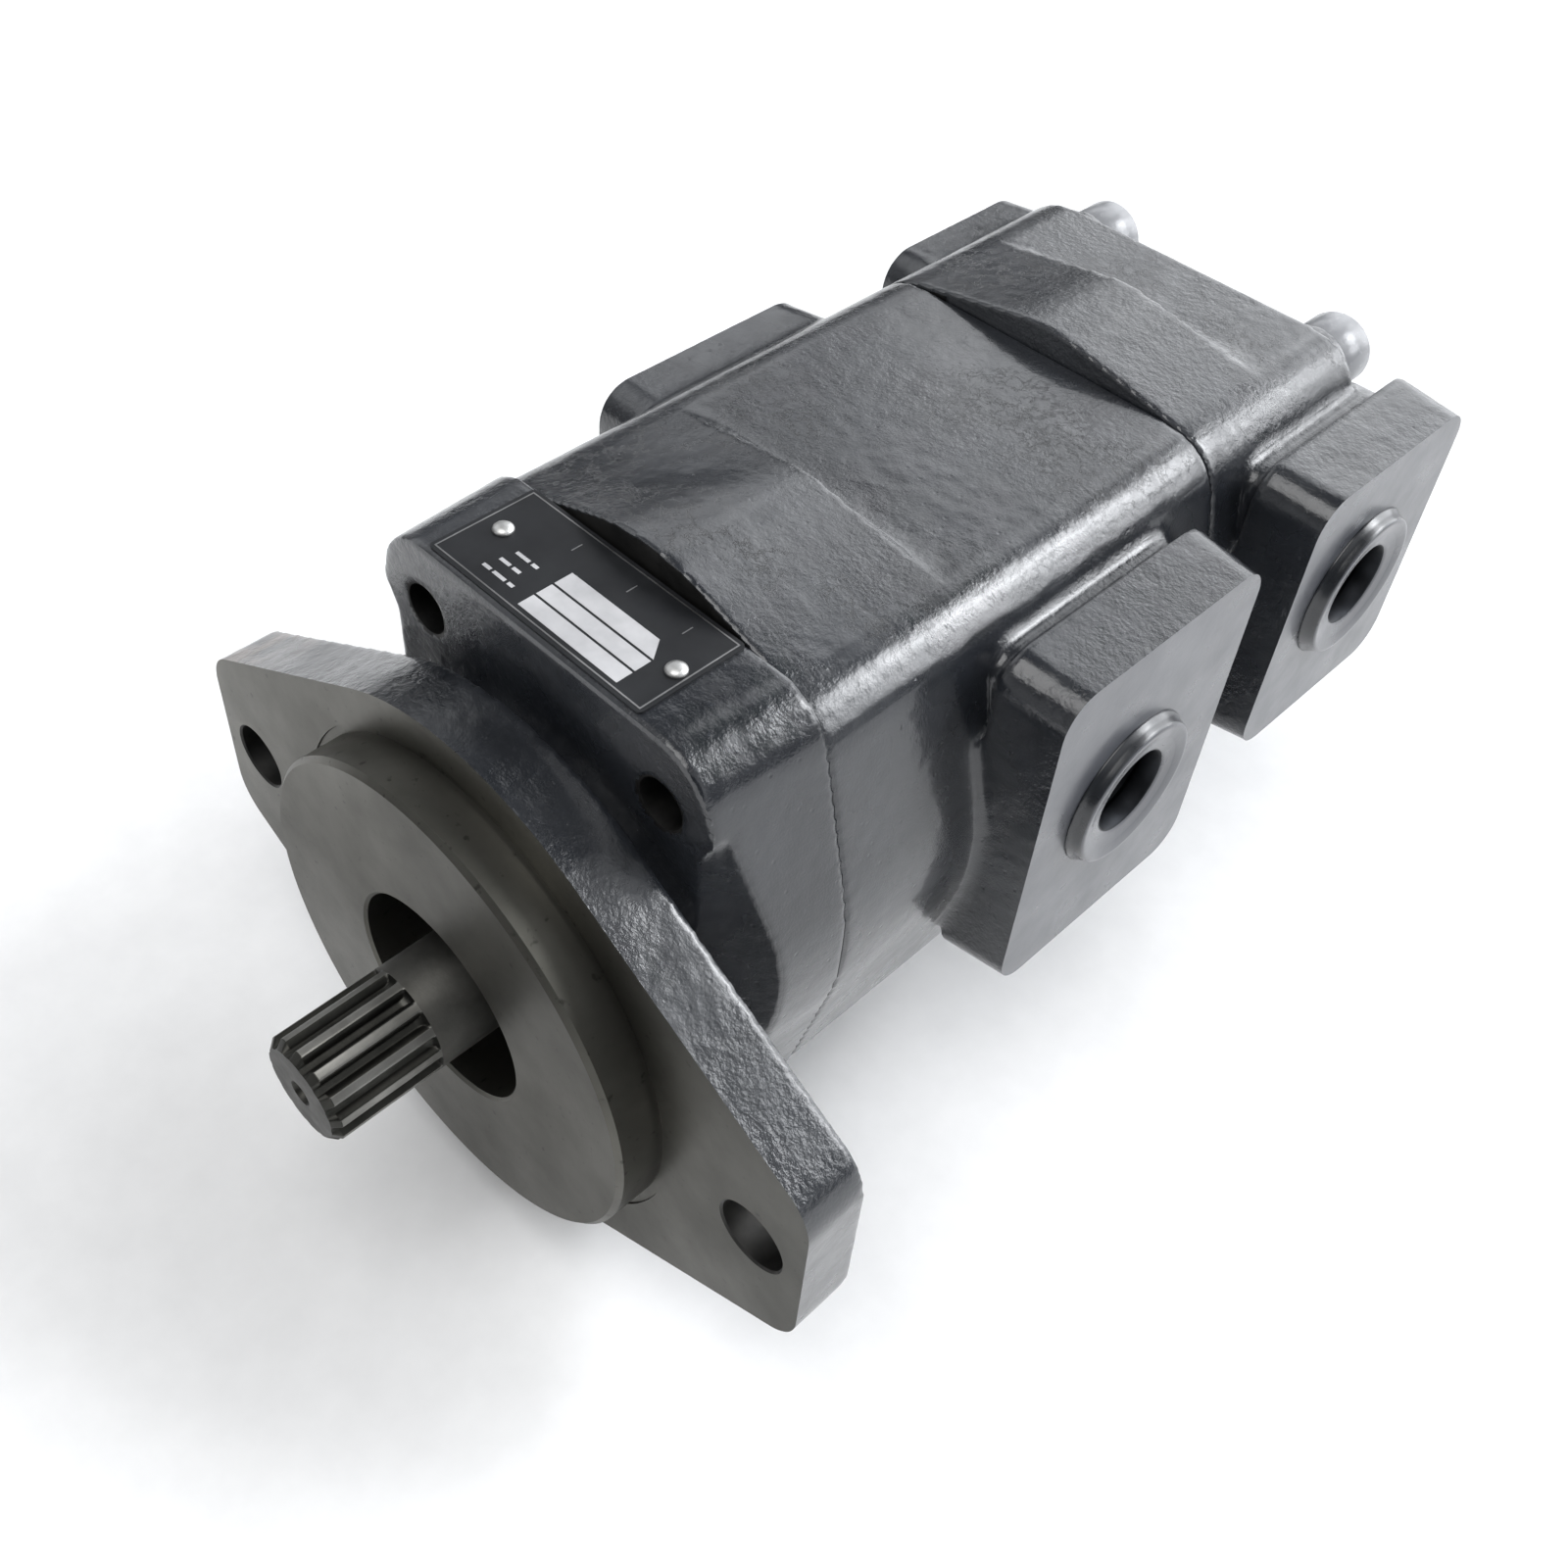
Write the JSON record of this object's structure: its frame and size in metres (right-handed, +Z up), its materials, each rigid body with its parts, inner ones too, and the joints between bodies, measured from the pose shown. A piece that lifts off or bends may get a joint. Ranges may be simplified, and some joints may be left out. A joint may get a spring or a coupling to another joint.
{
  "type": "tandem gear pump",
  "caption": "Tandem external gear pump: two-bolt pilot flange, splined shaft, two cast gear housings with side ports, long tie bolts.",
  "frame": {"origin": "centre of the mounting face, where the drive shaft's axis crosses it", "axes": "+Z up towards the nameplate, +Y rearward along the shaft axis into the pump, +X to the right seen from the shaft end"},
  "size_m": [0.17, 0.2555, 0.1408],
  "materials": {
    "painted_iron": "semi-gloss dark grey paint over a sand-cast surface; the mounting face and pilot are machined bare iron",
    "painted_steel": "semi-gloss dark grey paint",
    "gear_steel": "ground and hardened",
    "block_aluminium": "machined",
    "bush_bronze": "bored",
    "seal_rubber": "moulded nitrile",
    "spring_steel": "oiled",
    "plate_black": "printed black with plain pale fields, no lettering",
    "rivet_aluminium": "matt"
  },
  "bodies": {
    "pump_body": {"coupling_seal": "seal_rubber", "front_body_seal": "seal_rubber", "front_cover": "painted_iron", "front_dowels": "spring_steel", "front_housing": "painted_iron", "front_inlet_fitting": "painted_steel", "front_outlet_fitting": "painted_steel", "front_port_seals": "seal_rubber", "front_section_front_balance_seal": "seal_rubber", "front_section_front_bearing_block": "block_aluminium", "front_section_front_bushes": "bush_bronze", "front_section_rear_balance_seal": "seal_rubber", "front_section_rear_bearing_block": "block_aluminium", "front_section_rear_bushes": "bush_bronze", "nameplate": "plate_black", "nameplate_rivets": "rivet_aluminium", "rear_body_seal": "seal_rubber", "rear_dowels": "spring_steel", "rear_housing": "painted_iron", "rear_inlet_fitting": "painted_steel", "rear_outlet_fitting": "painted_steel", "rear_port_seals": "seal_rubber", "rear_section_front_balance_seal": "seal_rubber", "rear_section_front_bearing_block": "block_aluminium", "rear_section_front_bushes": "bush_bronze", "rear_section_rear_balance_seal": "seal_rubber", "rear_section_rear_bearing_block": "block_aluminium", "rear_section_rear_bushes": "bush_bronze", "seal_retaining_ring": "spring_steel", "shaft_lip_seal": "seal_rubber", "tie_bolts": "painted_steel"},
    "drive_line": {"drive_gear_shaft": "gear_steel", "coupling_sleeve": "gear_steel", "rear_drive_gear": "gear_steel"},
    "front_driven": {"front_driven_gear": "gear_steel"},
    "rear_driven": {"rear_driven_gear": "gear_steel"}
  },
  "joints": [
    {"name": "drive_spin", "type": "hinge", "parent": "pump_body", "child": "drive_line", "pos_m": [0, 0, 0], "axis": [0, 1, 0], "continuous": true},
    {"name": "front_driven_spin", "type": "hinge", "parent": "pump_body", "child": "front_driven", "pos_m": [0, 0, 0.04125], "axis": [0, 1, 0], "continuous": true},
    {"name": "rear_driven_spin", "type": "hinge", "parent": "pump_body", "child": "rear_driven", "pos_m": [0, 0, 0.04125], "axis": [0, 1, 0], "continuous": true}
  ],
  "couplings": [
    {"joint": "front_driven_spin", "follows": "drive_spin", "ratio": -1},
    {"joint": "rear_driven_spin", "follows": "drive_spin", "ratio": -1}
  ]
}
